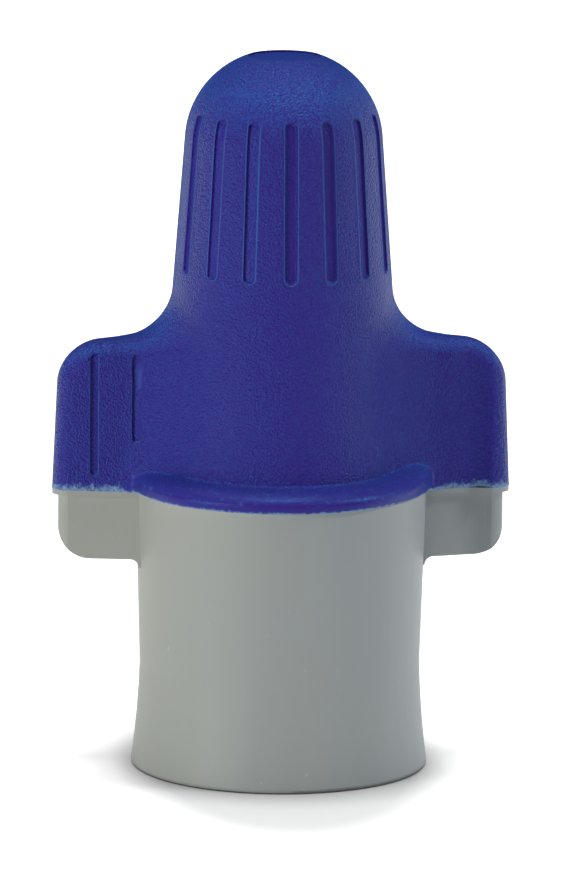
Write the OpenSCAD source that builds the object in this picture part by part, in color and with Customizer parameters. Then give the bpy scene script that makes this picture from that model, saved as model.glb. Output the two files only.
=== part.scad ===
// Twist-on wire connector: a rigid shell with two wings, a soft grip cover
// moulded over its upper half, and a conical square-wire spring inside.
// The wings have a flat push face and a scooped face, and the part is the
// same when it is turned half way round. Millimetres, +Z towards the dome.

/* [Overall] */
// Height from the mouth of the skirt to the rim round the apex
body_h = 41.65; // [38:0.05:52]
// Width across the wings at the seam
wing_span = 26.6; // [25:0.1:32]
// Height of the seam where the soft cover meets the rigid shell
seam_z = 16.4; // [14:0.1:19.7]

/* [Rigid shell] */
// Radius of the bore that takes the insulated wires
bore_r = 7.3; // [6:0.1:8.8]
// Wall of the skirt at its waist
skirt_wall = 0.85; // [0.7:0.05:1.2]
// Height of the skirt's waist
waist_z = 6; // [4:0.5:7]
// How far the mouth flares out past the waist
mouth_flare = 0.5; // [0.4:0.05:0.9]
// How far the skirt widens from the waist up to the seam
skirt_spread = 0.3; // [0.1:0.05:0.4]
// Rounding of the rim of the mouth
rim_round = 0.25; // [0.1:0.05:0.35]
// Lead-in at the mouth of the bore
lead_in = 0.35; // [0.1:0.05:0.5]
// Length of the funnel between the bore and the spring
funnel_h = 2.5; // [1.5:0.1:3.5]
// Height of the lip that keeps the spring in
lip_h = 0.5; // [0.3:0.1:0.8]
// How far the lip reaches in past the wall of the spring's chamber
lip_reach = 0.25; // [0.1:0.05:0.5]
// Wall between the spring's chamber and the soft cover
chamber_wall = 0.9; // [0.7:0.05:1.2]

/* [Wing stubs and seam flange] */
// Height of the rigid stub below the seam
stub_h = 4.05; // [3:0.05:6]
// Corner radius at the stub's lower outer end
stub_corner_r = 1.8; // [1:0.1:2.5]
// Fillet between the stub's underside and the skirt
stub_fillet_r = 0.5; // [0.2:0.1:0.8]
// How far the stub stands back from the edge of the cover
stub_inset = 0.35; // [0.2:0.05:0.6]
// Thickness of the flange that the cover is moulded against
flange_t = 0.3; // [0.2:0.05:0.5]

/* [Grip barrel] */
// Radius of the grip just above the bead
barrel_r = 7.15; // [6.6:0.05:8.6]
// Draft angle of the grip's side
barrel_draft = 4.26; // [3:0.1:5.5]
// Radius of the dome
dome_r = 5.3; // [4.6:0.05:5.5]
// Radius of the round recess at the apex
apex_r = 2.1; // [1.5:0.1:2.8]
// Depth of the recess at the apex
apex_depth = 0.12; // [0.05:0.01:0.3]
// How far the bead at the cover's lower edge stands out past the skirt
bead_lip = 0.3; // [0.1:0.05:0.6]
// Height of the bead's outer face
bead_h = 0.75; // [0.5:0.05:1.2]
// Height of the slope from the bead's edge in to the grip
bead_slope_h = 0.45; // [0.3:0.05:0.8]
// How far the bead's edge rises where it runs into a wing
bead_rise = 0.35; // [0:0.05:0.5]
// Thickness of the soft cover on the barrel
cover_t = 0.95; // [0.7:0.05:1.3]
// Gap in the bond between the cover and the shell
bond_gap = 0.03; // [0.02:0.01:0.06]
// Height of the shell's foot inside the bead
foot_h = 0.3; // [0.2:0.05:0.5]

/* [Wings] */
// Height of a wing's upper edge above the seam, at its outer corner
wing_h = 8.7; // [7.5:0.05:10.5]
// Slope of the wing's upper edge in degrees
wing_slope = 4.5; // [1:0.5:12]
// Draft angle of the wing's outer edge
wing_draft = 2.4; // [1:0.1:4]
// Radius of the wing's upper corner
wing_corner_r = 2.35; // [1.5:0.05:3]
// Fillet between wing and barrel
wing_fillet_r = 2.6; // [1.5:0.05:3]
// Half thickness at the root, on the push side
push_half = 1.85; // [1.5:0.05:2.2]
// Half thickness at the root, on the scooped side
scoop_half = 1.55; // [1.3:0.05:2]
// Half thickness at the tip
tip_half = 1.1; // [0.95:0.05:1.3]
// Rounding of the wing's edges
wing_round = 1.05; // [0.7:0.05:1.1]
// Depth of the scoop
scoop_depth = 0.35; // [0:0.05:0.45]
// Thickness of the soft cover on the wings
wing_skin = 0.65; // [0.5:0.05:0.8]

/* [Grip grooves] */
// Grooves on the front of the barrel, and as many on the back
groove_count = 7; // [5:2:7]
// Angle from one groove to the next
groove_step = 22.5; // [18:0.5:24]
// Width of a barrel groove
groove_w = 0.7; // [0.4:0.05:0.9]
// Height where the barrel grooves start, above the seam
groove_low = 13.25; // [12.5:0.05:15]
// Length of a barrel groove
groove_len = 8.65; // [5:0.05:10]
// Width of a groove on a wing's push face
rib_w = 0.44; // [0.3:0.02:0.6]
// Places of the two wing grooves, as shares of the way from the barrel to the wing's edge
rib_at = [0.275, 0.745]; // [0.2:0.005:0.85]
// Heights above the seam where the wing grooves start, inner first
rib_low = [3.2, 1.15]; // [0.8:0.05:4]
// Height above the seam where the wing grooves end
rib_high = 7.8; // [5:0.05:8]

/* [Spring] */
// Side of the spring's square wire
wire = 0.85; // [0.6:0.05:0.95]
// Air between one turn and the next
turn_air = 0.5; // [0.45:0.05:0.8]
// Clearance between the spring and its chamber
spring_clear = 0.1; // [0.05:0.05:0.2]
// Space left above the spring's last turn
spring_headroom = 1.2; // [0.5:0.1:3]

/* [Hidden] */
eps = 0.01;
round_fn = 96;         // steps of a full circle
bond_fn = 36;          // steps of a circle inside the soft cover
ball_fn = 8;          // steps of a groove's ball end
loop_rings = 24;       // rings of the spring in each turn
root_steps = 18;       // halvings in the search for the cover's surface

// Heights
stub_z = seam_z - stub_h;
bead_z = seam_z + bead_h;
barrel_z = bead_z + bead_slope_h;
chamber_z = seam_z + 1.3;
lip_z = chamber_z - lip_h;
funnel_z = lip_z - funnel_h;

// Skirt and bead
waist_r = bore_r + skirt_wall;
seam_r = waist_r + skirt_spread;
skirt_draft = atan(skirt_spread / (seam_z - waist_z));
rim_r = waist_r + mouth_flare;
flare_r = pow(waist_z, 2) / (2 * (mouth_flare - waist_z * tan(skirt_draft)));
rim_lean = asin(waist_z / flare_r + sin(skirt_draft));
bead_r = max(seam_r, barrel_r + bead_h) + bead_lip;

// Dome: an arc tangent to the drafted side, up to the rim of the recess
function side_r(z) = barrel_r - (z - barrel_z) * tan(barrel_draft);
function dome_x_at(z) = side_r(z + dome_r * sin(barrel_draft)) - dome_r * cos(barrel_draft);
// Height of the arc's centre at which the dome meets the rim of the apex recess
function settle(z, n) = n == 0 ? z
    : settle(body_h - sqrt(pow(dome_r, 2) - pow(apex_r - dome_x_at(z), 2)), n - 1);
dome_z = settle(body_h - dome_r, 8);
dome_x = dome_x_at(dome_z);
apex_angle = acos((apex_r - dome_x) / dome_r);
dome_start = dome_z + dome_r * sin(barrel_draft);
function barrel_at(z) = z < dome_start ? side_r(z)
    : dome_x + sqrt(max(0, pow(dome_r, 2) - pow(z - dome_z, 2)));

// Wing: thickness at a distance x from the axis, on its push side and its scooped side
tip_x = wing_span / 2;
side_end = tip_x - wing_round;
function mix(a, b, t) = a + (b - a) * t;
function clamp01(t) = min(1, max(0, t));
function ease(t) = t * t * (3 - 2 * t);
function along(x) = clamp01((x - barrel_r) / (side_end - barrel_r));
function push_y(x) = mix(push_half, tip_half, along(x));
function scoop_y(x) = mix(scoop_half, tip_half, along(x))
    - scoop_depth * 12.2 * pow(along(x), 4) * (1 - along(x));
// Half thickness of the plain wing that both sides are made from
function half_y(x) = mix((push_half + scoop_half) / 2, tip_half, along(x));

// Elevation of the wing: outer edge and upper edge, joined by a round corner
function edge_x(z) = tip_x - (z - seam_z) * tan(wing_draft);
function edge_z(x) = seam_z + wing_h - (x - (tip_x - wing_corner_r)) * tan(wing_slope);

// Rounded joins of two distances, r is the radius
function both(a, b, r) = min(-r, max(a, b)) + norm([max(r + a, 0), max(r + b, 0)]);
function either(a, b, r) = max(r, min(a, b)) - norm([max(r - a, 0), max(r - b, 0)]);

// The cover's outer form, below 0 inside, in one quarter of the plan
function wing_form(x, y, z) = both(
    both((x - edge_x(z)) * cos(wing_draft), (z - edge_z(x)) * cos(wing_slope), wing_corner_r),
    y - half_y(x), wing_round);
function grip_form(x, y, z) =
    either(norm([x, y]) - barrel_at(z), wing_form(x, y, z), wing_fillet_r);
function find_r(a, z, low, high, n) = let (r = (low + high) / 2)
    n == 0 ? r
    : grip_form(r * cos(a), r * sin(a), z) > 0 ? find_r(a, z, low, r, n - 1)
    : find_r(a, z, r, high, n - 1);

// The bead, a ring round the grip that rises towards the wings
function bead_at(a, z) = let (zb = z - bead_rise * pow(cos(a), 6))
    zb < bead_z ? mix(seam_r, bead_r, clamp01((z - seam_z) / bead_h))
    : mix(bead_r, barrel_r, clamp01((zb - bead_z) / bead_slope_h));
function cover_r(a, z) = max(find_r(a, z, 0, wing_span, root_steps),
    z < barrel_z + bead_rise ? bead_at(a, z) : 0);

// Half thickness of the cover at a distance x from the axis, fillet included
function face_y(x, z, low, high, n) = let (y = (low + high) / 2)
    n == 0 ? y
    : grip_form(x, y, z) > 0 ? face_y(x, z, low, y, n - 1)
    : face_y(x, z, y, high, n - 1);

// Directions of the cover's columns in a quarter, from wing tip to barrel front
tip_end = atan(tip_half / side_end);
wing_root = barrel_r + 0.55 * wing_fillet_r;
side_start = atan(half_y(wing_root) / wing_root);
fillet_end = side_start + 15;
quarter = concat(
    [for (i = [0:3]) tip_end * sin(90 * i / 3.5)],
    [for (i = [0:6]) let (x = mix(side_end, wing_root, i / 7)) atan(half_y(x) / x)],
    [for (i = [0:4]) mix(side_start, fillet_end, i / 5)],
    [for (i = [0:7]) mix(fillet_end, 90, i / 7)]);
last = len(quarter) - 1;
columns = 4 * last;
// Quarter index and signs of a column that runs all the way round
function fold(i) = let (q = floor(i / last), k = i % last) q % 2 == 0 ? k : last - k;
function sign_x(i) = i <= last || i > 3 * last ? 1 : -1;
function sign_y(i) = i <= 2 * last ? 1 : -1;
// Direction of a column, counted on past a full turn
function direction(i) = let (k = i % columns, a = quarter[fold(k)])
    360 * floor(i / columns) + [a, 180 - a, 180 + a, 360 - a][floor(k / last)];

// Heights of the cover's rings, of which the first is cut away again at the seam
corner_z = seam_z + wing_h;
shoulder_z = edge_z(barrel_r) + wing_fillet_r;
heights = concat(
    [seam_z - flange_t],
    [for (i = [0:2]) mix(seam_z, bead_z, i / 2)],
    [for (i = [1:5]) mix(bead_z, barrel_z + bead_rise, i / 5)],
    [for (i = [1:3]) mix(barrel_z + bead_rise, corner_z - wing_corner_r, i / 3)],
    [for (i = [1:6]) corner_z - wing_corner_r * (1 - sin(90 * i / 7))],
    [for (i = [0:3]) mix(corner_z - 0.04, edge_z(barrel_r + wing_fillet_r), i / 3)],
    [for (i = [1:6]) mix(edge_z(barrel_r + wing_fillet_r), shoulder_z, i / 6)],
    [dome_start],
    [for (i = [1:8]) dome_z + dome_r * sin(mix(barrel_draft, apex_angle, i / 8))],
    [body_h - apex_depth]);
rings = len(heights);
shoulder = len([for (z = heights) if (z <= shoulder_z) z]) - 1;
table = [for (j = [0:shoulder]) [for (a = quarter) cover_r(a, heights[j])]];

// Shift from the plain wing's face to the real one, which fades into the barrel and the dome
function wing_share(x, z) = ease(clamp01((x - barrel_r / 2) / (barrel_r / 2)))
    * (1 - ease(clamp01((z - corner_z) / (shoulder_z - corner_z))));
function face_shift(x, y, z, push) = ((push ? push_y(x) : scoop_y(x)) - half_y(x))
    * min(1, y / half_y(x)) * wing_share(x, z);
// Above the shoulder each ring is turned on by half a column, so that no facet
// there is a flat four-sided one that a groove's edge could follow
function round_point(i, j) = let (
    n = i + floor((j - shoulder) / 2),
    a = (j - shoulder) % 2 == 0 ? direction(n) : (direction(n) + direction(n + 1)) / 2,
    r = j < rings - 2 ? barrel_at(heights[j]) : apex_r)
    [r * cos(a), r * sin(a), heights[j]];
function cover_point(i, j) = j > shoulder ? round_point(i, j) : let (
    r = table[j][fold(i)],
    x = r * cos(quarter[fold(i)]),
    y = r * sin(quarter[fold(i)]),
    z = heights[j],
    push = sign_x(i) * sign_y(i) > 0)
    [sign_x(i) * x, sign_y(i) * (y + face_shift(x, y, z, push)), z];

cover_points = concat(
    [for (j = [0:rings - 1]) for (i = [0:columns - 1]) cover_point(i, j)],
    [[0, 0, seam_z - flange_t], [0, 0, body_h - apex_depth]]);
function ring_id(i, j) = (i % columns) + j * columns;
cover_faces = concat(
    [for (j = [0:rings - 2]) for (i = [0:columns - 1])
        [ring_id(i, j), ring_id(i, j + 1), ring_id(i + 1, j)]],
    [for (j = [0:rings - 2]) for (i = [0:columns - 1])
        [ring_id(i + 1, j), ring_id(i, j + 1), ring_id(i + 1, j + 1)]],
    [for (i = [0:columns - 1]) [ring_id(i + 1, 0), rings * columns, ring_id(i, 0)]],
    [for (i = [0:columns - 1])
        [ring_id(i, rings - 1), rings * columns + 1, ring_id(i + 1, rings - 1)]]);

// Spring
wire_diag = wire * sqrt(2);
pitch = wire_diag + turn_air;
chamber_inset = cover_t + chamber_wall;
function chamber_at(z) = side_r(z) - chamber_inset;
roof_r = dome_r - chamber_inset;
// Radius of the room for the spring, under the roof too
function room_at(z) = z < dome_start ? chamber_at(z)
    : dome_x + sqrt(max(0, pow(roof_r, 2) - pow(z - dome_z, 2)));
coil_low = chamber_z + spring_clear + wire_diag / 2;
coil_high = dome_z + roof_r - spring_headroom - wire_diag / 2;
turns = floor(2 * (coil_high - coil_low) / pitch) / 2;
coil_rings = round(turns * loop_rings);
function coil_r(z) = min(room_at(z) - wire_diag / 2, room_at(z + wire_diag / 2)) - spring_clear;
// Corner k of the wire's square on ring i, one corner points at the axis
function coil_point(i, k) = let (
    z = coil_low + pitch * i / loop_rings,
    a = 360 * i / loop_rings,
    lean = atan(pitch / (2 * PI * coil_r(z))),
    out = cos(90 * k) * wire_diag / 2,
    up = sin(90 * k) * wire_diag / 2,
    r = coil_r(z) + out)
    [r * cos(a) + up * sin(lean) * sin(a), r * sin(a) - up * sin(lean) * cos(a),
        z + up * cos(lean)];
turn_gap = min([for (i = [0:coil_rings - loop_rings]) for (n = [-2:2])
    let (j = i + loop_rings + n) if (j <= coil_rings)
        norm(coil_point(i, 1) - coil_point(j, 3))]);
echo("Least gap between the turns of the spring, mm", turn_gap);

// ---- Shapes shared by the shell and the cover ----

// Plan of one wing, drawn in from the cover's outline by the inset
module wing_plan(inset) {
    r = wing_round - min(inset, wing_round - 0.1);
    cx = tip_x - inset - r;
    cy = tip_half - inset - r;
    xs = concat([barrel_r / 3, barrel_r], [for (i = [3:0.5:10]) mix(barrel_r, cx, i / 10)]);
    arc = [for (i = [1:6]) 90 - 15 * i];
    polygon(concat(
        [for (x = [xs[0], barrel_r, cx]) [x, push_y(x) - inset]],
        [for (a = arc) [cx + r * cos(a), cy + r * sin(a)]],
        [for (i = [5:-1:0]) [cx + r * cos(arc[i]), -cy - r * sin(arc[i])]],
        [for (i = [len(xs) - 1:-1:0]) [xs[i], inset - scoop_y(xs[i])]]));
}

// Both wings of a plan, raised from one height to another
module wing_pair(inset, low, high) {
    for (turn = [0, 180])
        rotate([0, 0, turn]) translate([0, 0, low])
            linear_extrude(height = high - low) wing_plan(inset);
}

// An elevation drawn in X and Z, and its half turn, as a thick slab
module slab() {
    for (turn = [0, 180])
        rotate([90, 0, turn])
            linear_extrude(height = 3 * push_half, center = true) children();
}

// Elevation of the rigid stub, with a round corner and a fillet at the skirt
module stub_outline() {
    reach = tip_x - stub_inset;
    skirt_x = seam_r - (seam_z - stub_z) * tan(skirt_draft);
    difference() {
        translate([0, stub_z]) square([reach, stub_h]);
        translate([reach - stub_corner_r, stub_z]) difference() {
            square(stub_corner_r);
            translate([0, stub_corner_r]) circle(stub_corner_r, $fn = round_fn);
        }
    }
    translate([skirt_x - stub_fillet_r, stub_z - stub_fillet_r]) difference() {
        square([2 * stub_fillet_r, stub_fillet_r + eps]);
        translate([2 * stub_fillet_r, 0]) circle(stub_fillet_r, $fn = round_fn);
    }
}

// Elevation of the rigid core inside a wing
module core_outline(grow) {
    r = wing_corner_r - wing_skin;
    top = edge_z(tip_x - wing_corner_r) - wing_skin + grow;
    slope = tan(wing_slope);
    reach = edge_x(top) - wing_skin + grow;
    root = barrel_r / 3;
    polygon(concat(
        [[root, seam_z - flange_t], [tip_x - wing_skin + grow, seam_z - flange_t]],
        [for (i = [0:4]) let (a = mix(0, 90 - wing_slope, i / 4))
            [reach - r + r * cos(a), top - r + r * sin(a)]],
        [[root, top + (reach - r - root) * slope]]));
}

// Points of a dome's arc that lies in from the cover's surface, and the axis
function dome_arc(inset, steps) = let (r = dome_r - inset, stop = dome_x < 0 ? acos(-dome_x / r) : 90)
    concat([for (i = [0:steps]) let (a = mix(barrel_draft, stop, i / steps))
        [max(0, dome_x + r * cos(a)), dome_z + r * sin(a)]],
        dome_x > 0 ? [[0, dome_z + r]] : []);

// The shell above the seam: a drafted core with a dome, and a core in each wing.
// The cut for it in the cover has few sides, and is widened so that they clear it.
module core(grow, steps = round_fn) {
    out = cover_t - grow;
    foot = seam_r - out;
    step_z = barrel_z + cover_t;
    widen = grow > 0 ? 1 / cos(180 / steps) : 1;
    scale([widen, widen, 1]) rotate_extrude($fn = steps)
        polygon(concat(
            [[0, seam_z - flange_t], [foot, seam_z - flange_t], [foot, seam_z + foot_h],
                [side_r(step_z) - out, step_z]],
            dome_arc(out, steps / 4)));
    intersection() {
        wing_pair(wing_skin - grow, seam_z - flange_t, corner_z);
        slab() core_outline(grow);
    }
}

// ---- The pieces ----

// Section of the skirt: a drafted upper part, and a lower part that an arc flares out
module skirt_section() {
    polygon([[0, waist_z], [waist_r, waist_z], [seam_r, seam_z], [0, seam_z]]);
    difference() {
        square([rim_r + mouth_flare, waist_z]);
        translate([waist_r + flare_r * cos(skirt_draft), waist_z + flare_r * sin(skirt_draft)])
            circle(flare_r, $fn = 4 * round_fn);
        translate([rim_r - rim_round * (tan(rim_lean) + 1 / cos(rim_lean)), 0]) difference() {
            square([2 * rim_round, rim_round]);
            translate([0, rim_round]) circle(rim_round, $fn = round_fn);
        }
    }
}

// Rigid shell: skirt, stubs, flange and core, with the bore and the chamber
module shell() {
    color([0.58, 0.61, 0.60]) difference() {
        union() {
            rotate_extrude($fn = round_fn) skirt_section();
            intersection() {
                wing_pair(stub_inset, stub_z - stub_fillet_r, seam_z);
                slab() stub_outline();
            }
            wing_pair(0, seam_z - flange_t, seam_z);
            core(0);
        }
        skirt_bore();
        chamber();
    }
}

// Straight bore, flared at the mouth, with the funnel above it
module skirt_bore() {
    translate([0, 0, -eps]) cylinder(h = funnel_z + eps, r = bore_r, $fn = round_fn);
    translate([0, 0, -eps])
        cylinder(h = waist_z / 2 + eps, r1 = bore_r + lead_in, r2 = bore_r, $fn = round_fn);
    translate([0, 0, funnel_z])
        cylinder(h = funnel_h, r1 = bore_r, r2 = chamber_at(chamber_z) - lip_reach, $fn = round_fn);
}

// Chamber of the spring: retaining lip, drafted wall and domed roof
module chamber() {
    translate([0, 0, lip_z - eps])
        cylinder(h = lip_h + 2 * eps, r = chamber_at(chamber_z) - lip_reach, $fn = round_fn);
    rotate_extrude($fn = round_fn)
        polygon(concat([[0, chamber_z], [chamber_at(chamber_z), chamber_z]],
            dome_arc(chamber_inset, round_fn / 4)));
}

// Soft cover over the barrel and the wings, bonded to the shell
module grip_cover() {
    color([0.16, 0.20, 0.56]) difference() {
        polyhedron(points = cover_points, faces = cover_faces, convexity = 6);
        translate([-wing_span, -wing_span, seam_z - wing_span])
            cube([2 * wing_span, 2 * wing_span, wing_span]);
        core(bond_gap, bond_fn);
        barrel_grooves();
        wing_grooves();
    }
}

// A groove with round ends, cut by a ball drawn from one point to another
module groove(from, to, w) {
    hull() {
        translate(from) sphere(w / 2, $fn = ball_fn);
        translate(to) sphere(w / 2, $fn = ball_fn);
    }
}

module barrel_grooves() {
    low = seam_z + groove_low;
    high = min(low + groove_len, dome_start + dome_r * 0.4);
    half = (groove_count - 1) / 2;
    for (face = [-90, 90]) for (i = [-half:half])
        rotate([0, 0, face + i * groove_step])
            groove([side_r(low), 0, low], [barrel_at(high), 0, high], groove_w);
}

// A point on the push face of a wing
function push_point(x, z) = let (y = face_y(x, z, 0, barrel_r, root_steps))
    [x, y + face_shift(x, y, z, true), z];

// Two grooves on the push face of each wing
module wing_grooves() {
    for (turn = [0, 180]) for (i = [0, 1]) rotate([0, 0, turn]) {
        x = mix(barrel_r, side_end, rib_at[i]);
        groove(push_point(x, seam_z + rib_low[i]), push_point(x, seam_z + rib_high), rib_w);
    }
}

// Conical spring of square wire, wound right-handed
module spring() {
    body = [for (i = [0:coil_rings - 1]) for (k = [0:3]) let (
        a = 4 * i + k,
        b = 4 * i + (k + 1) % 4)
        [[a, b, a + 4], [b, b + 4, a + 4]]];
    faces = concat([for (pair = body) for (f = pair) f],
        [[0, 3, 2], [0, 2, 1]],
        [[4 * coil_rings, 4 * coil_rings + 1, 4 * coil_rings + 2],
            [4 * coil_rings, 4 * coil_rings + 2, 4 * coil_rings + 3]]);
    color([0.72, 0.72, 0.70]) polyhedron(
        points = [for (i = [0:coil_rings]) for (k = [0:3]) coil_point(i, k)],
        faces = faces, convexity = 12);
}

shell();
grip_cover();
spring();
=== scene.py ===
# %% [markdown]
# # Twist wire connector
# A twist-on connector joins stripped wires inside a conical steel spring. The
# spring sits in a rigid plastic shell, and a soft cover with two wings is
# moulded over the shell's upper half for the fingers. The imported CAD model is
# loaded as a fixed frame, and every visible surface is then given its finish.

# %% The frame
import math

import bmesh
import bpy
import numpy as np
from mathutils import Matrix, Vector, noise


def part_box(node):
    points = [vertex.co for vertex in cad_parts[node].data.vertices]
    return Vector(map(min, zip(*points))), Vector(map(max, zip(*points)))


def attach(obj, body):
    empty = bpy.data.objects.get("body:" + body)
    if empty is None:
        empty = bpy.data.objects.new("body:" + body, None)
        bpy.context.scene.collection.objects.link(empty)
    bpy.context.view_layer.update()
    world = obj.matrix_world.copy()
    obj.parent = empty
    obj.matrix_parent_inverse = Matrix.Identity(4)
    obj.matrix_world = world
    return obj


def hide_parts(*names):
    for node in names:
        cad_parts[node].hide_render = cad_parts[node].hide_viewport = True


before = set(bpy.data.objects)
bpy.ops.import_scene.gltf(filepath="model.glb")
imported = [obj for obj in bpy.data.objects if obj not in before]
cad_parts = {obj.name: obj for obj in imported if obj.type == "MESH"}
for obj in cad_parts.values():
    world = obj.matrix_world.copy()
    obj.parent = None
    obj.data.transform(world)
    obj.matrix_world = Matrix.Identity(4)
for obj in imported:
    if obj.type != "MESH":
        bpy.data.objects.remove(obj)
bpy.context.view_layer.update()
MM = 0.001

# %% [markdown]
# The sizes below are the part's own, in millimetres, under the same names as in
# its construction. The box of the soft cover is printed with them.

# %% Sizes of the part
body_h, wing_span, seam_z = 41.65, 26.6, 16.4
bore_r, skirt_wall, skirt_spread = 7.3, 0.85, 0.3
barrel_r, barrel_draft, dome_r = 7.15, math.radians(4.26), 5.3
apex_r, apex_depth = 2.1, 0.12
bead_lip, bead_h, bead_slope_h = 0.3, 0.75, 0.45
cover_t, bond_gap, wing_skin, foot_h = 0.95, 0.03, 0.65, 0.3
wing_h, wing_slope, wing_draft = 8.7, math.radians(4.5), math.radians(2.4)
wing_corner_r, wing_fillet_r, wing_round = 2.35, 2.6, 1.05
push_half, scoop_half, tip_half, scoop_depth = 1.85, 1.55, 1.1, 0.35
groove_step, groove_w, groove_low, groove_len = 22.5, 0.7, 13.25, 8.65
rib_w, rib_at, rib_low, rib_high = 0.44, (0.275, 0.745), (3.2, 1.15), 7.8

seam_r = bore_r + skirt_wall + skirt_spread
bead_z = seam_z + bead_h
barrel_z = bead_z + bead_slope_h
bead_r = max(seam_r, barrel_r + bead_h) + bead_lip
tip_x = wing_span / 2
side_end = tip_x - wing_round
corner_z = seam_z + wing_h
rib_x = [barrel_r + (side_end - barrel_r) * t for t in rib_at]
cover_low, cover_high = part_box("grip_cover")
print("cover, mm:", round((cover_high.x - cover_low.x) / MM, 2), "wide,",
      round(cover_high.z / MM, 2), "high")

# %% [markdown]
# ## The form of the soft cover
# The cover is one flowing form: a drafted barrel with a dome, and two thin wings
# that run into it with generous fillets. Such a form is easiest to hold as a
# distance that is below zero inside, because two distances can be joined with a
# rounded edge or a rounded hollow. The surface is then found along each
# direction from the axis by halving the interval that holds it.

# %% Shares and steps
def mix(a, b, t):
    return a + (b - a) * t


def clamp01(t):
    return np.clip(t, 0, 1)


def ease(t):
    """A step with soft ends."""
    return t * t * (3 - 2 * t)


def quarter_turn(t):
    """A share of a right angle, in radians."""
    return math.radians(90 * t)


# %% Barrel and dome
def side_r(z):
    """Radius of the barrel's plain side, which leans in by its draft."""
    return barrel_r - (z - barrel_z) * math.tan(barrel_draft)


def dome_x_at(z):
    """Where the dome's arc has its centre, so that it leaves the side without a corner."""
    return side_r(z + dome_r * math.sin(barrel_draft)) - dome_r * math.cos(barrel_draft)


dome_z = body_h - dome_r
for _ in range(8):
    dome_z = body_h - math.sqrt(dome_r ** 2 - (apex_r - dome_x_at(dome_z)) ** 2)
dome_x = dome_x_at(dome_z)
apex_angle = math.acos((apex_r - dome_x) / dome_r)
dome_start = dome_z + dome_r * math.sin(barrel_draft)


def barrel_at(z, inset=0):
    """Radius of the side and the dome together, or of a skin set in from them."""
    arc = dome_x + np.sqrt(np.maximum(0, (dome_r - inset) ** 2 - (z - dome_z) ** 2))
    return np.where(z < dome_start, side_r(z) - inset, arc)


print("dome centre at", round(dome_x, 3), round(dome_z, 3), "mm")

# %% Wings
def along(x):
    """0 at the barrel and 1 where the wing's edge starts to round."""
    return clamp01((x - barrel_r) / (side_end - barrel_r))


def push_y(x):
    """Half thickness up to the flat face, where a finger pushes."""
    return mix(push_half, tip_half, along(x))


def scoop_y(x):
    """Half thickness up to the hollowed face."""
    t = along(x)
    hollow = 12.2 * t ** 4 * (1 - t)  # 1 at its deepest, near the wing's edge
    return mix(scoop_half, tip_half, t) - scoop_depth * hollow


def half_y(x):
    """Half thickness of a plain wing, between the two."""
    return mix((push_half + scoop_half) / 2, tip_half, along(x))


def face_shift(x, y, z, push):
    """From the plain wing's face to the real one, fading into the barrel and the dome."""
    share = ease(clamp01((x - barrel_r / 2) / (barrel_r / 2)))
    share = share * (1 - ease(clamp01((z - corner_z) / (shoulder_z - corner_z))))
    side = np.where(push, push_y(x), scoop_y(x)) - half_y(x)
    return side * np.minimum(1, y / half_y(x)) * share


def edge_x(z):
    """The wing's outer edge, which leans in by its draft."""
    return tip_x - (z - seam_z) * math.tan(wing_draft)


def edge_z(x):
    """The wing's top, which slopes up to the barrel."""
    return seam_z + wing_h - (x - (tip_x - wing_corner_r)) * math.tan(wing_slope)


# %% Rounded joins and the whole form
def both(a, b, r):
    """Inside a and b, with a round outer edge."""
    beyond = np.hypot(np.maximum(r + a, 0), np.maximum(r + b, 0))
    return np.minimum(-r, np.maximum(a, b)) + beyond


def either(a, b, r):
    """Inside a or b, with a round inner corner."""
    within = np.hypot(np.maximum(r - a, 0), np.maximum(r - b, 0))
    return np.maximum(r, np.minimum(a, b)) - within


def wing_form(x, y, z):
    """A thin plate whose outline is cut by the outer edge and the sloping top."""
    outline = both((x - edge_x(z)) * math.cos(wing_draft),
                   (z - edge_z(x)) * math.cos(wing_slope), wing_corner_r)
    return both(outline, y - half_y(x), wing_round)


def find_r(angle, z, barrel_inset=0, wing_inset=0, fillet=wing_fillet_r):
    """The form's distance from the axis in a direction and at a height."""
    low, high = np.zeros_like(z), np.full_like(z, wing_span)
    for _ in range(34):
        r = (low + high) / 2
        x, y = r * np.cos(angle), r * np.sin(angle)
        barrel, wing = r - barrel_at(z, barrel_inset), wing_form(x, y, z) + wing_inset
        outside = either(barrel, wing, fillet) > 0
        high, low = np.where(outside, r, high), np.where(outside, low, r)
    return low


mid_reach = float(find_r(np.array([0.0]), np.array([20.0]))[0])
print("wing at mid height reaches", round(mid_reach, 3), "mm")

# %% [markdown]
# ## Columns and rings of the cover's mesh
# The mesh is a grid that is wrapped round the form. Its columns stand close
# together at each groove and follow the groove's edges, and its rings stand
# close together at the bead, at the ends of the grooves and over the wings.
# One quarter of the columns is worked out and then folded round the axis.

# %% Columns of a quarter
def across_groove(width, shares):
    """Offsets from a groove's middle, in shares of its half width."""
    half = [width / 2 * share for share in shares]
    return np.array([-offset for offset in half] + [0] + half[::-1])


groove_offsets = across_groove(groove_w, (1.34, 1.22, 1.13, 1.06, 0.99, 0.92, 0.84, 0.75, 0.4))
rib_offsets = across_groove(rib_w, (1.4, 1.25, 1.14, 1.04, 0.93, 0.8, 0.4))
groove_reach, rib_reach = groove_offsets[-1], rib_offsets[-1]
tip_end = math.degrees(math.atan(tip_half / side_end))
grooves = [groove_step * k for k in (1, 2, 3, 4)]
mid_r = 6.6  # the barrel's radius half way up


def wing_stations():
    """Places along a wing, from its edge to the barrel, close together at its two grooves."""
    inner, outer = rib_x
    return np.concatenate([
        np.linspace(side_end, outer + rib_reach, 8)[:-1], outer - rib_offsets,
        np.linspace(outer - rib_reach, inner + rib_reach, 9)[1:-1], inner - rib_offsets])


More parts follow.
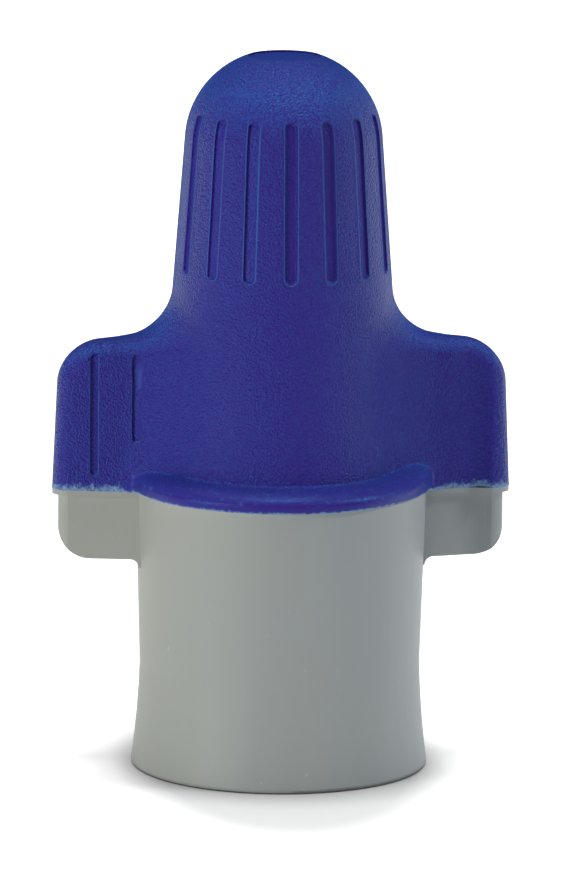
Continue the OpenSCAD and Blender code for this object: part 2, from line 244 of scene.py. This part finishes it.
def quarter_columns():
    """Pairs of a base angle in degrees and an offset in millimetres round the barrel."""
    pairs = [(tip_end * math.sin(quarter_turn(i / 9.5)), 0) for i in range(10)]
    pairs += [(math.degrees(math.atan(half_y(x) / x)), 0) for x in wing_stations()]
    start = pairs[-1][0]
    first = grooves[0] - math.degrees(groove_reach / mid_r)
    pairs += [(mix(start, first, i / 9), 0) for i in range(1, 9)]
    for g in grooves:
        pairs += [(g, o) for o in groove_offsets if g < 90 or o <= 0]
        if g < 90:
            pairs += [(g + groove_step * i / 7, mix(groove_reach, -groove_reach, i / 7))
                      for i in range(1, 7)]
    return np.array(pairs)


quarter = quarter_columns()
last = len(quarter) - 1
columns = 4 * last
steps = np.arange(columns)
fold = np.where((steps // last) % 2 == 0, steps % last, last - steps % last)
sign_x = np.where((steps <= last) | (steps > 3 * last), 1, -1)
sign_y = np.where(steps <= 2 * last, 1, -1)
print(columns, "columns")

# %% Rings, from the inner pole down to the seam and up to the apex
def spread(start, stop, count):
    """Even steps after the start, up to the stop."""
    return list(np.linspace(start, stop, count + 1)[1:])


root_z = float(edge_z(barrel_r + wing_fillet_r))
shoulder_z = float(edge_z(barrel_r)) + wing_fillet_r
roof_z = dome_z + dome_r - cover_t + bond_gap
wing_roof = corner_z - wing_skin
short_rib = seam_z + rib_low[0]
wing_bend = corner_z - wing_corner_r
groove_bottom, groove_top = seam_z + groove_low, seam_z + groove_low + groove_len


def rings_through(start, stops):
    """Rings from a start through stops that each say how many rings lead up to them."""
    rings = []
    for stop, count in stops:
        rings += spread(start, stop, count)
        start = stop
    return rings


inner_rings = [mix(dome_start, roof_z, math.cos(quarter_turn(i / 8))) for i in range(9)]
inner_rings += rings_through(dome_start, (
    (shoulder_z, 3), (wing_roof + 0.3, 3), (wing_roof - 0.4, 5), (corner_z - 2.6, 3),
    (barrel_z + cover_t, 3), (seam_z + foot_h, 3), (seam_z, 1)))
outer_rings = [seam_z] + rings_through(seam_z, (
    (seam_z + 0.15, 3), (bead_z - 0.1, 5), (bead_z + 0.1, 4), (barrel_z + 0.9, 18),
    (short_rib - 0.4, 3), (short_rib + 0.35, 9), (wing_bend, 6)))
outer_rings += [mix(wing_bend, corner_z, math.sin(quarter_turn(i / 19))) for i in range(1, 19)]
outer_rings += rings_through(corner_z - 0.012, (
    (root_z, 9), (shoulder_z, 14), (groove_bottom - 0.5, 2), (groove_bottom + 0.1, 10),
    (dome_start, 6), (groove_top - 0.1, 6), (groove_top + 0.5, 8)))
last_angle = math.asin((outer_rings[-1] - dome_z) / dome_r)
outer_rings += [dome_z + dome_r * math.sin(mix(last_angle, apex_angle, i / 10))
                for i in range(1, 11)]
print(len(inner_rings), "inner and", len(outer_rings), "outer rings")

# %% [markdown]
# ## Grooves, bead and flash
# The grooves are pressed in by a depth that falls off across a rounded wall, so
# that their rims catch the light as they do in moulded rubber. The bead at the
# foot is a raised ring, and a thin rough flash runs along the seam, where the
# mould halves pinched the soft plastic.

# %% Depth of the grooves
groove_depth, rib_groove_depth, lip_h = 0.17, 0.19, 0.018
wall_top, wall_width, lip_at, lip_width = 1.02, 0.22, 1.13, 0.09  # in half widths
end_lean = 1.6  # the grooves' upper ends lean with the dome, so they look shorter


def slot(across, beyond, width, depth):
    """Depth of a round-ended groove with a low lip, across it and past its end."""
    d = np.hypot(across, np.maximum(beyond, 0)) / (width / 2)
    wall = ease(clamp01((wall_top - d) / wall_width))
    lip = np.exp(-((d - lip_at) / lip_width) ** 2)
    return depth * wall - lip_h * lip


def barrel_slots(angle, z, r):
    """The grooves round the barrel, each on its own angle."""
    nearest = np.clip(np.round(angle / groove_step), 1, len(grooves)) * groove_step
    across = np.radians(angle - nearest) * r
    beyond = np.maximum(groove_bottom - z, (z - groove_top) * end_lean)
    return slot(across, beyond, groove_w, groove_depth)


def rib_slots(x, z):
    """The two upright grooves on a wing's push face, a long one and a short one."""
    depth = np.zeros_like(x)
    for at, low in zip(rib_x, rib_low):
        beyond = np.maximum(seam_z + low - z, z - seam_z - rib_high)
        press = slot(x - at, beyond, rib_w, rib_groove_depth)
        depth = np.where(np.abs(press) > np.abs(depth), press, depth)
    return depth


print("grooves from", round(groove_bottom, 2), "to", round(groove_top, 2), "mm")

# %% The bead
crown_z = seam_z + 0.42
roll_root, roll_top, roll_fillet = barrel_r - 0.6, barrel_z + 0.15, 0.25
bead_end = barrel_z + 1.4
push_rise, scoop_rise = 0.2, 0.75


def bead_at(angle, z, rise):
    """A rolled ring that climbs where it meets a wing."""
    raised = z - rise * np.cos(angle) ** 10
    below = clamp01((crown_z - z) / (crown_z - seam_z))
    above = clamp01((raised - crown_z) / (roll_top - crown_z))
    under = mix(seam_r, bead_r, np.sqrt(1 - below ** 2))
    over = mix(roll_root, bead_r, np.sqrt(1 - above ** 2))
    return np.where(raised < crown_z, under, over)


def with_bead(r, angle, z, rise):
    """The larger of both, with a soft hollow between the roll and the barrel."""
    soft = roll_fillet * clamp01((bead_end - z) / 0.6)
    ring = bead_at(angle, z, rise)
    return (r + ring + np.hypot(r - ring, soft)) / 2


print("bead", round(2 * bead_r, 2), "mm across, crown at", round(crown_z, 2), "mm")

# %% [markdown]
# ## Wrapping the grid
# A plain grid is made by the operator, and each of its points is then placed on
# the form by its column and its ring. The two ends close into poles, the first
# and last column meet and are merged, and the result is one closed skin.

# %% Place a quarter of the cover
apex_steps = (1, 0.94, 0.7, 0.35, 0)  # the flat pole's rings, in shares of its radius


def inner_skin(angle, z):
    """The face bonded to the shell, with a collar that widens down to the seam."""
    r = find_r(angle, z, cover_t - bond_gap, wing_skin - bond_gap, fillet=0.02)
    step_z = barrel_z + cover_t
    foot_r, step_r = seam_r - cover_t + bond_gap, side_r(step_z) - cover_t + bond_gap
    climb = clamp01((z - seam_z - foot_h) / (step_z - seam_z - foot_h))
    return np.where(z < step_z, np.maximum(r, mix(foot_r, step_r, climb)), r)


def cover_rows():
    """One quarter's angles, heights, distances from the axis and depths of its grooves."""
    apex_rings = [body_h - apex_depth] * len(apex_steps)
    rings = np.array(inner_rings[:1] + inner_rings + outer_rings + apex_rings)
    z = np.repeat(rings[:, None], last + 1, 1)
    hold_r = np.maximum(barrel_at(z), dome_r)
    angle = np.radians(quarter[:, 0])[None, :] + quarter[:, 1][None, :] / hold_r
    r = np.concatenate([inner_skin(angle[:inner_count], z[:inner_count]),
                        find_r(angle[inner_count:], z[inner_count:])])
    r[0] = 0
    cut = barrel_slots(np.degrees(angle), z, hold_r)
    cut[:inner_count] = 0
    for k, share in enumerate(apex_steps, len(rings) - len(apex_steps)):
        r[k] = apex_r * share
        cut[k] = 0
    return angle, z, r - cut, cut


inner_count = len(inner_rings) + 1
quarter_a, quarter_z, quarter_r, pressed = cover_rows()
on_outside = np.arange(len(quarter_z))[:, None] >= inner_count
print(len(quarter_z), "rows of a quarter,", inner_count, "of them inside")

# %% Fold the quarter round the axis
def cover_points():
    """Every point in millimetres, with the bead, the wings' two faces and their grooves."""
    r, angle, z = quarter_r[:, fold], quarter_a[:, fold], quarter_z[:, fold]
    push = (sign_y * sign_x > 0)[None, :]
    rise = np.where(push, push_rise, scoop_rise)
    r = np.where(on_outside & (z < bead_end), with_bead(r, angle, z, rise), r)
    x, y = r * np.cos(angle), r * np.sin(angle)
    shift = face_shift(x, y, z, push)
    beyond_core = clamp01((quarter_r[:, fold] - barrel_at(z, cover_t)) / 0.6)
    shift = np.where(on_outside, shift, shift * beyond_core)
    on_face = on_outside & push & (x > barrel_r) & (x < side_end)
    rib = np.where(on_face, rib_slots(x, z), 0)
    return np.stack([sign_x * x, sign_y * (y + shift - rib), z], -1), rib


points, rib_depth = cover_points()
print("cover spans", points.min((0, 1)).round(2), points.max((0, 1)).round(2))

# %% Flash along the seam
flash_out = 0.07
flash_rings = (0.6, 1.0, 0.45, 0.1)


def flash(point):
    """How far the flash stands out: a slow wave with a finer one on it."""
    slow, fine = noise.noise(Vector(point) * 4.2), noise.noise(Vector(point) * 13)
    return 0.5 + 0.5 * slow + 0.4 * fine


def way_out(p):
    """Across the wing on its faces, and straight from the axis elsewhere."""
    if seam_r < abs(p[0]) < side_end and abs(p[1]) < push_half + 0.1:
        return np.array([0, math.copysign(1, p[1]), 0])
    return np.array([p[0], p[1], 0]) / math.hypot(p[0], p[1])


def add_flash():
    for j, reach in enumerate(flash_rings, inner_count):
        for i in range(columns):
            p = points[j, i]
            points[j, i] = p + way_out(p) * flash_out * reach * max(0, flash(p))


add_flash()
print("flash on", len(flash_rings), "rings of", columns, "points")

# %% Masks for the finish
def fade(value, width):
    """Nothing below zero, and all of it from the width on."""
    return clamp01(value / width)


def cover_masks():
    """Where grain shows, where the moulds met or a painted highlight lies on the bead, and a
    painted highlight on the groove rims.
    """
    z = quarter_z[:, fold]
    radius = np.hypot(points[..., 0], points[..., 1])
    cut = pressed[:, fold] + rib_depth
    bead = fade(bead_r + 0.45 - radius, 0.3) * fade(barrel_z + 0.1 - z, 0.25)
    grain = (1 - 0.45 * fade(cut, 0.1) - 0.7 * fade(-cut, 0.01)) * (1 - 0.75 * bead)
    grain[-len(apex_steps):] = 0.7
    parting_h = mix(0.5, 0.2, fade(bead_r + 0.85 - radius, 0.4))
    flash_and_highlight = clamp01(1.2 - (z - seam_z) / parting_h)
    # Painted highlight: a little of the flash's pale on the bead's upper slope.
    flash_and_highlight = np.maximum(flash_and_highlight, 0.12 * bead * fade(z - crown_z, 0.2))
    flash_and_highlight[:inner_count] = 0
    coarse = (rib_depth < 0) & (np.abs(points[..., 0]) < min(rib_x) - 0.1)
    # Painted highlight on the raised lip round each groove, weaker where the mesh is coarse.
    rim = fade(-cut, 0.012) * np.where(coarse, 0.3, 1)
    return {"grain": clamp01(grain), "flash_and_highlight": flash_and_highlight, "rim": rim}


masks = cover_masks()
print("mean of each mask:", {label: round(float(m.mean()), 3) for label, m in masks.items()})

# %% Build the mesh
def wrap_grid(name, places, values):
    """A closed skin from a grid whose rows are rings and whose ends are poles."""
    rows, around = places.shape[:2]
    bm = bmesh.new()
    bmesh.ops.create_grid(bm, x_segments=around, y_segments=rows - 1, size=1)
    layers = [(bm.verts.layers.float.new(label), value) for label, value in values.items()]
    for v in bm.verts:
        i = round((v.co.x + 1) / 2 * around) % around
        j = round((v.co.y + 1) / 2 * (rows - 1))
        v.co = Vector(places[j, i]) * MM
        for layer, value in layers:
            v[layer] = value[j, i]
    bmesh.ops.remove_doubles(bm, verts=bm.verts, dist=1e-7)
    bmesh.ops.dissolve_degenerate(bm, edges=bm.edges, dist=1e-7)
    if bm.calc_volume(signed=True) < 0:
        bmesh.ops.reverse_faces(bm, faces=bm.faces)
    for f in bm.faces:
        f.smooth = True
    mesh = bpy.data.meshes.new(name)
    bm.to_mesh(mesh)
    open_edges = sum(not e.is_manifold for e in bm.edges)
    bm.free()
    piece = bpy.data.objects.new(name, mesh)
    bpy.context.scene.collection.objects.link(piece)
    print(name, len(mesh.polygons), "faces,", open_edges, "open edges")
    return piece


cover = wrap_grid("soft_grip", points, masks)
cover.data.set_sharp_from_angle(angle=math.radians(55))
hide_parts("grip_cover")
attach(cover, "root")

# %% [markdown]
# ## Materials
# Every finish is worked out by nodes from the place on the piece, so it needs no
# picture and keeps its scale from any side. Small functions place the nodes that
# come again and again. The pebbled grain of a moulded surface is a node group,
# because a group has named inputs and can be placed in any material.

# %% Nodes that every finish uses
FLOAT, VECTOR = "NodeSocketFloat", "NodeSocketVector"


def link(tree, start, end):
    tree.links.new(start, end)


def set_inputs(node, values):
    for label, value in values.items():
        node.inputs[label].default_value = value


def new_material(name):
    material = bpy.data.materials.new(name)
    material.use_nodes = True
    tree = material.node_tree
    return material, tree, tree.nodes["Principled BSDF"]


def coordinates(tree, kind="Object"):
    return tree.nodes.new("ShaderNodeTexCoord").outputs[kind]


def attribute(tree, name):
    node = tree.nodes.new("ShaderNodeAttribute")
    node.attribute_name = name
    return node.outputs["Fac"]


def axis_of(tree, vector, axis):
    split = tree.nodes.new("ShaderNodeSeparateXYZ")
    link(tree, vector, split.inputs["Vector"])
    return split.outputs[axis]


def stretched(tree, vector, scale):
    node = tree.nodes.new("ShaderNodeMapping")
    set_inputs(node, {"Scale": scale})
    link(tree, vector, node.inputs["Vector"])
    return node.outputs["Vector"]


def noise_node(tree, vector, scale, detail=2.0, roughness=0.5):
    node = tree.nodes.new("ShaderNodeTexNoise")
    set_inputs(node, {"Scale": scale, "Detail": detail, "Roughness": roughness})
    link(tree, vector, node.inputs["Vector"])
    return node.outputs["Fac"]


# %% Sums, colours and bumps
def math_node(tree, operation, first, second=None, third=None, clamp=False):
    node = tree.nodes.new("ShaderNodeMath")
    node.operation = operation
    node.use_clamp = clamp
    for socket, value in zip(node.inputs, (first, second, third)):
        if isinstance(value, (int, float)):
            socket.default_value = value
        elif value is not None:
            link(tree, value, socket)
    return node.outputs[0]


def ramp(tree, value, slope, start):
    """A straight line of the value, held between 0 and 1."""
    return math_node(tree, "MULTIPLY_ADD", value, slope, start, clamp=True)


def centred_noise(tree, vector, scale, detail, roughness=0.5):
    """Noise that goes below zero as often as above it."""
    return math_node(tree, "SUBTRACT", noise_node(tree, vector, scale, detail, roughness), 0.5)


def colour_mix(tree, factor, first, second):
    node = tree.nodes.new("ShaderNodeMix")
    node.data_type = "RGBA"
    link(tree, factor, node.inputs["Factor"])
    for socket, value in ((node.inputs[6], first), (node.inputs[7], second)):
        if isinstance(value, tuple):
            socket.default_value = (*value, 1)
        else:
            link(tree, value, socket)
    return node.outputs[2]


def layered(tree, base, layers):
    """A base colour with others laid over it, each by its own share."""
    for share, tint in layers:
        base = colour_mix(tree, share, base, tint)
    return base


def add_bump(tree, shader, height, strength, distance):
    bump = tree.nodes.new("ShaderNodeBump")
    set_inputs(bump, {"Strength": strength, "Distance": distance})
    link(tree, height, bump.inputs["Height"])
    link(tree, bump.outputs["Normal"], shader.inputs["Normal"])


# %% Moulded grain
cells_per_metre, fine_per_metre = 8500.0, 9000.0


def new_group(name, inputs, outputs):
    group = bpy.data.node_groups.new(name, "ShaderNodeTree")
    for label, kind, value in inputs:
        socket = group.interface.new_socket(label, in_out="INPUT", socket_type=kind)
        if value is not None:
            socket.default_value = value
    for label, kind in outputs:
        group.interface.new_socket(label, in_out="OUTPUT", socket_type=kind)
    return group, group.nodes.new("NodeGroupInput"), group.nodes.new("NodeGroupOutput")


def make_grain():
    """Pebbled height of a moulded surface."""
    group, given, out = new_group(
        "moulded_grain",
        [("Vector", VECTOR, None), ("Cell", FLOAT, cells_per_metre), ("Amount", FLOAT, 1.0)],
        [("Height", FLOAT)])
    cells = group.nodes.new("ShaderNodeTexVoronoi")
    cells.feature = "SMOOTH_F1"
    set_inputs(cells, {"Smoothness": 0.6})
    link(group, given.outputs["Vector"], cells.inputs["Vector"])
    link(group, given.outputs["Cell"], cells.inputs["Scale"])
    pebble = math_node(group, "SUBTRACT", 1.0, cells.outputs["Distance"])
    fine = noise_node(group, given.outputs["Vector"], fine_per_metre, 2.0, 0.6)
    height = math_node(group, "MULTIPLY_ADD", fine, 0.7, pebble)
    height = math_node(group, "MULTIPLY", height, given.outputs["Amount"])
    link(group, height, out.inputs["Height"])
    return group


grain_group = make_grain()
print("node group", grain_group.name)

# %% [markdown]
# ### The soft cover
# The cover is a soft matt plastic with a fine moulded grain. One colour would
# look painted, so the tints are laid over each other: slow patches, brighter
# tops of the grain as painted glints, painted shade of a deeper blue at the
# silhouette edges, and a painted highlight, lighter and greener, on faces that
# lean upwards. The raised rims of the grooves get a painted highlight. The ragged
# line where the moulds met is pale flash, and a little of that pale is painted on
# the bead's upper slope as a highlight. The gloss is broad and takes a blue tint
# from the pigment.

# %% Blues of the cover
deep_blue, patch_blue = (0.050, 0.016, 0.240), (0.045, 0.020, 0.260)
# The grain tops' colour below is a painted glint, and the edge colour a painted shade at the
# silhouettes.
pebble_glint_blue, silhouette_shade_blue = (0.034, 0.042, 0.32), (0.004, 0.026, 0.25)
# Painted highlights: on upward faces and on the groove rims; the pale flash colour is also
# painted on the bead's upper slope as a highlight.
top_highlight_blue, rim_blue, flash_and_highlight_blue = (0.030, 0.115, 0.48), (0.06, 0.11, 0.42), (0.21, 0.34, 0.56)
highlight_tilt = 0.62  # upward part of the surface's direction where the painted highlight is strongest


def upward_highlight(tree, tops):
    """A painted highlight in a band round one upward tilt, stronger on the tops of the grain.
    """
    upward = axis_of(tree, coordinates(tree, "Normal"), "Z")
    off = math_node(tree, "ABSOLUTE", math_node(tree, "SUBTRACT", upward, highlight_tilt))
    strength = math_node(tree, "MULTIPLY_ADD", tops, 0.9, 0.2)
    return math_node(tree, "MULTIPLY", ramp(tree, off, -2.2, 1.0), strength)


def pale_flash_and_highlight(tree, at):
    """Pale, ragged flash where the moulds met, and a painted highlight where the mask lies on
    the bead; none where the mask is zero.
    """
    flash_and_highlight = attribute(tree, "flash_and_highlight")
    ragged = centred_noise(tree, at, 2600.0, 3.0, 0.7)
    ragged = math_node(tree, "MULTIPLY_ADD", ragged, 2.2, flash_and_highlight)
    pale = ramp(tree, ragged, 1.3, -0.25)
    pale = math_node(tree, "MULTIPLY", pale, pale)
    return math_node(tree, "MULTIPLY", pale, math_node(tree, "GREATER_THAN", flash_and_highlight, 0.02))


# %% Soft blue
def make_soft_blue():
    material, tree, shader = new_material("soft_blue")
    at = coordinates(tree)
    grain = attribute(tree, "grain")
    pebbles = tree.nodes.new("ShaderNodeGroup")
    pebbles.node_tree = grain_group
    link(tree, at, pebbles.inputs["Vector"])
    link(tree, grain, pebbles.inputs["Amount"])
    height = pebbles.outputs["Height"]
    edge = tree.nodes.new("ShaderNodeLayerWeight")
    set_inputs(edge, {"Blend": 0.5})
    facing = edge.outputs["Facing"]
    tops = ramp(tree, height, 1.4, -1.0)
    skin = layered(tree, deep_blue, (
        (noise_node(tree, at, 180.0, 3.0), patch_blue),
        # painted glints on the tops of the grain
        (tops, pebble_glint_blue),
        # painted shade at the silhouette edges
        (math_node(tree, "POWER", facing, 1.5), silhouette_shade_blue),
        # painted highlight on faces that lean upwards
        (upward_highlight(tree, tops), top_highlight_blue),
        # painted highlight on the raised groove rims
        (attribute(tree, "rim"), rim_blue),
        # pale flash at the seam, and painted highlight on the bead's upper slope
        (pale_flash_and_highlight(tree, at), flash_and_highlight_blue)))
    link(tree, skin, shader.inputs["Base Color"])
    set_inputs(shader, {
        "Specular IOR Level": 0.32, "Specular Tint": (0.0, 0.5, 1.0, 1),
        "Sheen Weight": 0.05, "Sheen Roughness": 0.35, "Sheen Tint": (0.0, 0.6, 1.0, 1)})
    rough = math_node(tree, "MULTIPLY_ADD", grain, -0.06, 0.30)
    rough = math_node(tree, "MULTIPLY_ADD", math_node(tree, "POWER", facing, 3.0), 0.5, rough)
    link(tree, rough, shader.inputs["Roughness"])
    add_bump(tree, shader, height, 1.0, 0.00007)
    return material


soft_blue = make_soft_blue()
cover.data.materials.append(soft_blue)
print(soft_blue.name, "on", cover.name)

# %% [markdown]
# ### The rigid shell
# The shell is hard satin plastic, moulded without a grain. Its CAD shape is
# right as it is, so it only gets a finish: a cool grey that turns warmer towards
# one side as a painted cast of light, faint streaks that run up with the flow of
# the plastic, small pale specks, and a slight waviness in the gloss.

# %% Satin grey
# The warm grey is a painted cast of light on one side of the shell.
cool_grey, lit_warm_grey = (0.352, 0.392, 0.408), (0.385, 0.400, 0.345)
streak_grey, speck_grey = (0.40, 0.42, 0.42), (0.52, 0.53, 0.50)


def make_satin_grey():
    material, tree, shader = new_material("satin_grey")
    at = coordinates(tree)
    across = math_node(tree, "MULTIPLY_ADD", axis_of(tree, at, "X"), -70.0, 0.35)
    drift = centred_noise(tree, at, 120.0, 3.0)
    flow = noise_node(tree, stretched(tree, at, (900.0, 900.0, 45.0)), 1.0, 3.0)
    tint = layered(tree, cool_grey, (
        # painted warm cast of light towards one side
        (math_node(tree, "ADD", across, drift, clamp=True), lit_warm_grey),
        (ramp(tree, flow, 0.6, -0.1), streak_grey),
        (ramp(tree, noise_node(tree, at, 2300.0), 9.0, -6.6), speck_grey)))
    link(tree, tint, shader.inputs["Base Color"])
    set_inputs(shader, {"Roughness": 0.48, "Specular IOR Level": 0.3})
    add_bump(tree, shader, noise_node(tree, at, 2500.0, 3.0), 0.2, 0.00003)
    return material


def finish_node(name, material):
    """Give a CAD node a material in place of its plain one."""
    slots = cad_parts[name].data.materials
    slots.clear()
    slots.append(material)
    print(material.name, "on", name)


finish_node("shell", make_satin_grey())

# %% [markdown]
# ### The spring
# The spring is wound from plated steel wire, and its CAD shape is the real one.
# It is a plain metal whose brightness and polish change slowly along the wire.

# %% Plated steel
dull_steel, bright_steel = (0.62, 0.61, 0.58), (0.75, 0.74, 0.72)


def make_steel():
    material, tree, shader = new_material("plated_steel")
    at = coordinates(tree)
    set_inputs(shader, {"Metallic": 1.0})
    tint = colour_mix(tree, noise_node(tree, at, 400.0, 3.0), dull_steel, bright_steel)
    link(tree, tint, shader.inputs["Base Color"])
    rough = math_node(tree, "MULTIPLY_ADD", noise_node(tree, at, 900.0, 3.0), 0.2, 0.2)
    link(tree, rough, shader.inputs["Roughness"])
    return material


finish_node("spring", make_steel())

# %% [markdown]
# ## Stage, light and camera
# The part stands on a white floor. The floor shines only for the camera and for
# reflections, so it looks white and throws no light on the part. It shines less
# beside the part's foot and darkens where they touch, a painted soft shadow.

# %% Floor
floor_half, floor_white = 1.5, (0.9, 0.9, 0.9, 1)
contact_reach, shadow_stretch = 0.004, (1.0, 0.45, 1.0)


def seen_rays(tree):
    """1 for the camera, for reflections and through glass, and 0 for light on the part."""
    path = tree.nodes.new("ShaderNodeLightPath").outputs
    seen = math_node(tree, "MAXIMUM", path["Is Camera Ray"], path["Is Glossy Ray"])
    return math_node(tree, "MAXIMUM", seen, path["Is Transmission Ray"])


def floor_glow(tree, openness):
    """A painted shadow as a dim patch beside the foot, a slow rise away from it, and dark at
    the contact.
    """
    away = tree.nodes.new("ShaderNodeVectorMath")
    away.operation = "LENGTH"
    link(tree, stretched(tree, coordinates(tree), shadow_stretch), away.inputs[0])
    beside = ramp(tree, away.outputs["Value"], 420.0, -3.1)
    far = ramp(tree, away.outputs["Value"], 6.0, -0.1)
    glow = math_node(tree, "MULTIPLY_ADD", beside, 0.42, 0.14)
    glow = math_node(tree, "MULTIPLY_ADD", far, 0.7, glow)
    return math_node(tree, "MULTIPLY", glow, openness)


def make_white_floor():
    material, tree, shader = new_material("white_floor")
    # Painted contact shadow: the floor's colour darkens where the part stands on it.
    near = tree.nodes.new("ShaderNodeAmbientOcclusion")
    near.samples = 8
    set_inputs(near, {"Distance": contact_reach, "Color": floor_white})
    link(tree, near.outputs["Color"], shader.inputs["Base Color"])
    set_inputs(shader, {
        "Roughness": 1.0, "Specular IOR Level": 0.0, "Emission Color": (1, 1, 1, 1)})
    glow = floor_glow(tree, near.outputs["AO"])
    strength = math_node(tree, "MULTIPLY", seen_rays(tree), glow)
    link(tree, strength, shader.inputs["Emission Strength"])
    return material


def make_stage():
    bm = bmesh.new()
    bmesh.ops.create_grid(bm, x_segments=1, y_segments=1, size=floor_half)
    mesh = bpy.data.meshes.new("floor")
    bm.to_mesh(mesh)
    bm.free()
    floor = bpy.data.objects.new("floor", mesh)
    bpy.context.scene.collection.objects.link(floor)
    mesh.materials.append(make_white_floor())
    print("floor", 2 * floor_half, "m across")


make_stage()

# %% World
world_level = 0.10


def make_world():
    """Dim for the part, and white for the camera and for reflections."""
    world = bpy.data.worlds.new("studio")
    bpy.context.scene.world = world
    world.use_nodes = True
    tree = world.node_tree
    strength = math_node(tree, "MULTIPLY_ADD", seen_rays(tree), 1 - world_level, world_level)
    link(tree, strength, tree.nodes["Background"].inputs["Strength"])
    print("world level", world_level)


make_world()

# %% Lamps
lamp_distance, lamp_aim = 0.45, Vector((0, 0, 0.02))
lamps = (  # name, azimuth and elevation in degrees, width and height in metres, watts
    ("left_key", -61, 10, 0.05, 0.18, 0.63),
    ("left_fill", -48, 5, 0.12, 0.22, 0.48),
    ("right_high", 76, 41, 0.10, 0.12, 0.61),
    ("right_low", 92, 6, 0.16, 0.24, 0.31),
    ("top", 0, 84, 0.10, 0.10, 0.55),
    ("back_high", 180, 75, 0.20, 0.20, 0.65),
    ("back_left", -130, 8, 0.14, 0.22, 0.07),
    ("back_right", 130, 8, 0.14, 0.22, 0.09))


def add_lamp(name, azimuth, elevation, width, height, power):
    a, e = math.radians(azimuth), math.radians(elevation)
    away = Vector((math.sin(a) * math.cos(e), -math.cos(a) * math.cos(e), math.sin(e)))
    light = bpy.data.lights.new(name, "AREA")
    light.shape = "RECTANGLE"
    light.size, light.size_y = width, height
    light.energy = power
    obj = bpy.data.objects.new(name, light)
    obj.location = lamp_aim + away * lamp_distance
    obj.rotation_mode = "QUATERNION"
    obj.rotation_quaternion = away.to_track_quat("Z", "Y")
    bpy.context.scene.collection.objects.link(obj)


for row in lamps:
    add_lamp(*row)
print(len(lamps), "lamps")

# %% Camera
camera_mm = (-39.06, -498.5, 117.2)
yaw, pitch, roll = (math.radians(v) for v in (4.555, 11.09, -0.503))
frame_h, focal = 877, 8781  # in pixels
sensor = 36.0


def aim_camera():
    level = math.cos(pitch)
    ahead = Vector((math.sin(yaw) * level, math.cos(yaw) * level, -math.sin(pitch)))
    right = Vector((math.cos(yaw), -math.sin(yaw), 0))
    up = right.cross(ahead)
    across = math.cos(roll) * right - math.sin(roll) * up
    above = math.cos(roll) * up + math.sin(roll) * right
    place = Matrix((across, above, -ahead)).transposed().to_4x4()
    place.translation = Vector(camera_mm) * MM
    data = bpy.data.cameras.new("camera")
    data.sensor_width = sensor
    data.lens = sensor * focal / frame_h
    data.clip_start, data.clip_end = 0.01, 10
    camera = bpy.data.objects.new("camera", data)
    camera.matrix_world = place
    bpy.context.scene.collection.objects.link(camera)
    bpy.context.scene.camera = camera
    print("camera lens", round(data.lens, 1), "mm")


aim_camera()
bpy.context.scene.view_settings.view_transform = "Standard"
